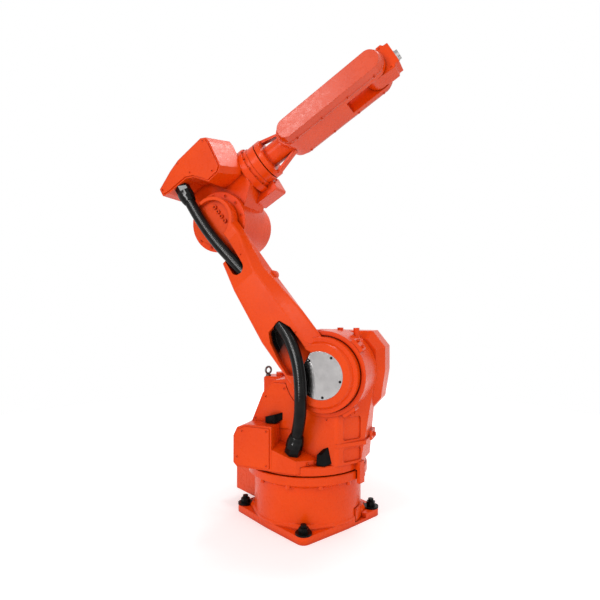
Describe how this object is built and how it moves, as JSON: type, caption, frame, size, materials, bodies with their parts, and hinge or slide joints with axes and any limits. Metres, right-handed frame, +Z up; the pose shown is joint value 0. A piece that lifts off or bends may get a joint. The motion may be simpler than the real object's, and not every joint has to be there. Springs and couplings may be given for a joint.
{
  "type": "industrial robot arm",
  "caption": "Six-axis industrial robot arm on a bolted round base, with a side-mounted lower arm, a slim forked forearm, external hoses and a bare tool flange",
  "frame": {"origin": "middle of the underside of the base, on the swivel axis", "axes": "+Z up along the swivel axis; +X to the front of the base, away from the connector box; +Y to the left"},
  "size_m": [0.7997, 0.6433, 1.6941],
  "materials": {
    "black_plastic": "moulded black plastic",
    "black_steel": "black oxide fasteners",
    "bright_steel": "machined bright metal",
    "dark_metal": "dark machined metal",
    "hose": "corrugated black conduit",
    "orange_paint": "glossy orange-red paint over castings",
    "rubber": "matt black rubber"
  },
  "bodies": {
    "base": {"base_casting": "orange_paint", "base_port_plate": "orange_paint", "connector_box": "orange_paint", "anchor_bolts": "black_steel"},
    "turret": {"turret_casting": "orange_paint", "shoulder_gear_cover": "orange_paint", "swivel_motor": "orange_paint", "lifting_eye": "dark_metal", "upper_side_plate": "orange_paint", "cable_box": "orange_paint", "cable_box_plate": "orange_paint", "gland_block": "orange_paint", "shoulder_gland": "black_plastic", "rear_bumper": "rubber", "front_bumper": "rubber", "shoulder_hose": "hose"},
    "lower_arm": {"lower_arm_casting": "orange_paint", "shoulder_cap": "bright_steel"},
    "elbow": {"elbow_casting": "orange_paint", "elbow_box": "orange_paint", "elbow_panel": "orange_paint", "elbow_gland": "black_plastic", "elbow_hose": "hose"},
    "forearm": {"forearm_housing": "orange_paint", "forearm_near_cover": "orange_paint", "forearm_far_cover": "orange_paint"},
    "wrist": {"wrist_housing": "orange_paint"},
    "tool_flange": {"tool_flange": "bright_steel"}
  },
  "joints": [
    {"name": "base_swivel", "type": "hinge", "parent": "base", "child": "turret", "pos_m": [0, 0, 0.204], "axis": [0, 0, 1], "range_deg": [-191.4, 138.6]},
    {"name": "shoulder_tilt", "type": "hinge", "parent": "turret", "child": "lower_arm", "pos_m": [0.10928, 0.05425, 0.547], "axis": [-0.4446, 0.8957, 0], "range_deg": [-26.1, 103.9], "deforming": ["shoulder_hose"]},
    {"name": "elbow_tilt", "type": "hinge", "parent": "lower_arm", "child": "elbow", "pos_m": [-0.29008, -0.144, 1.09955], "axis": [0.4446, -0.8957, 0], "range_deg": [-67.6, 102.4], "deforming": ["elbow_hose"]},
    {"name": "forearm_roll", "type": "hinge", "parent": "elbow", "child": "forearm", "pos_m": [-0.35279, -0.17513, 1.21381], "axis": [0.7637, 0.3791, 0.5225], "range_deg": [-150, 150]},
    {"name": "wrist_bend", "type": "hinge", "parent": "forearm", "child": "wrist", "pos_m": [0.23527, 0.11679, 1.61613], "axis": [-0.4446, 0.8957, 0], "range_deg": [-115, 115]},
    {"name": "flange_roll", "type": "hinge", "parent": "wrist", "child": "tool_flange", "pos_m": [0.31164, 0.1547, 1.66838], "axis": [0.7637, 0.3791, 0.5225], "range_deg": [-360, 360]}
  ]
}
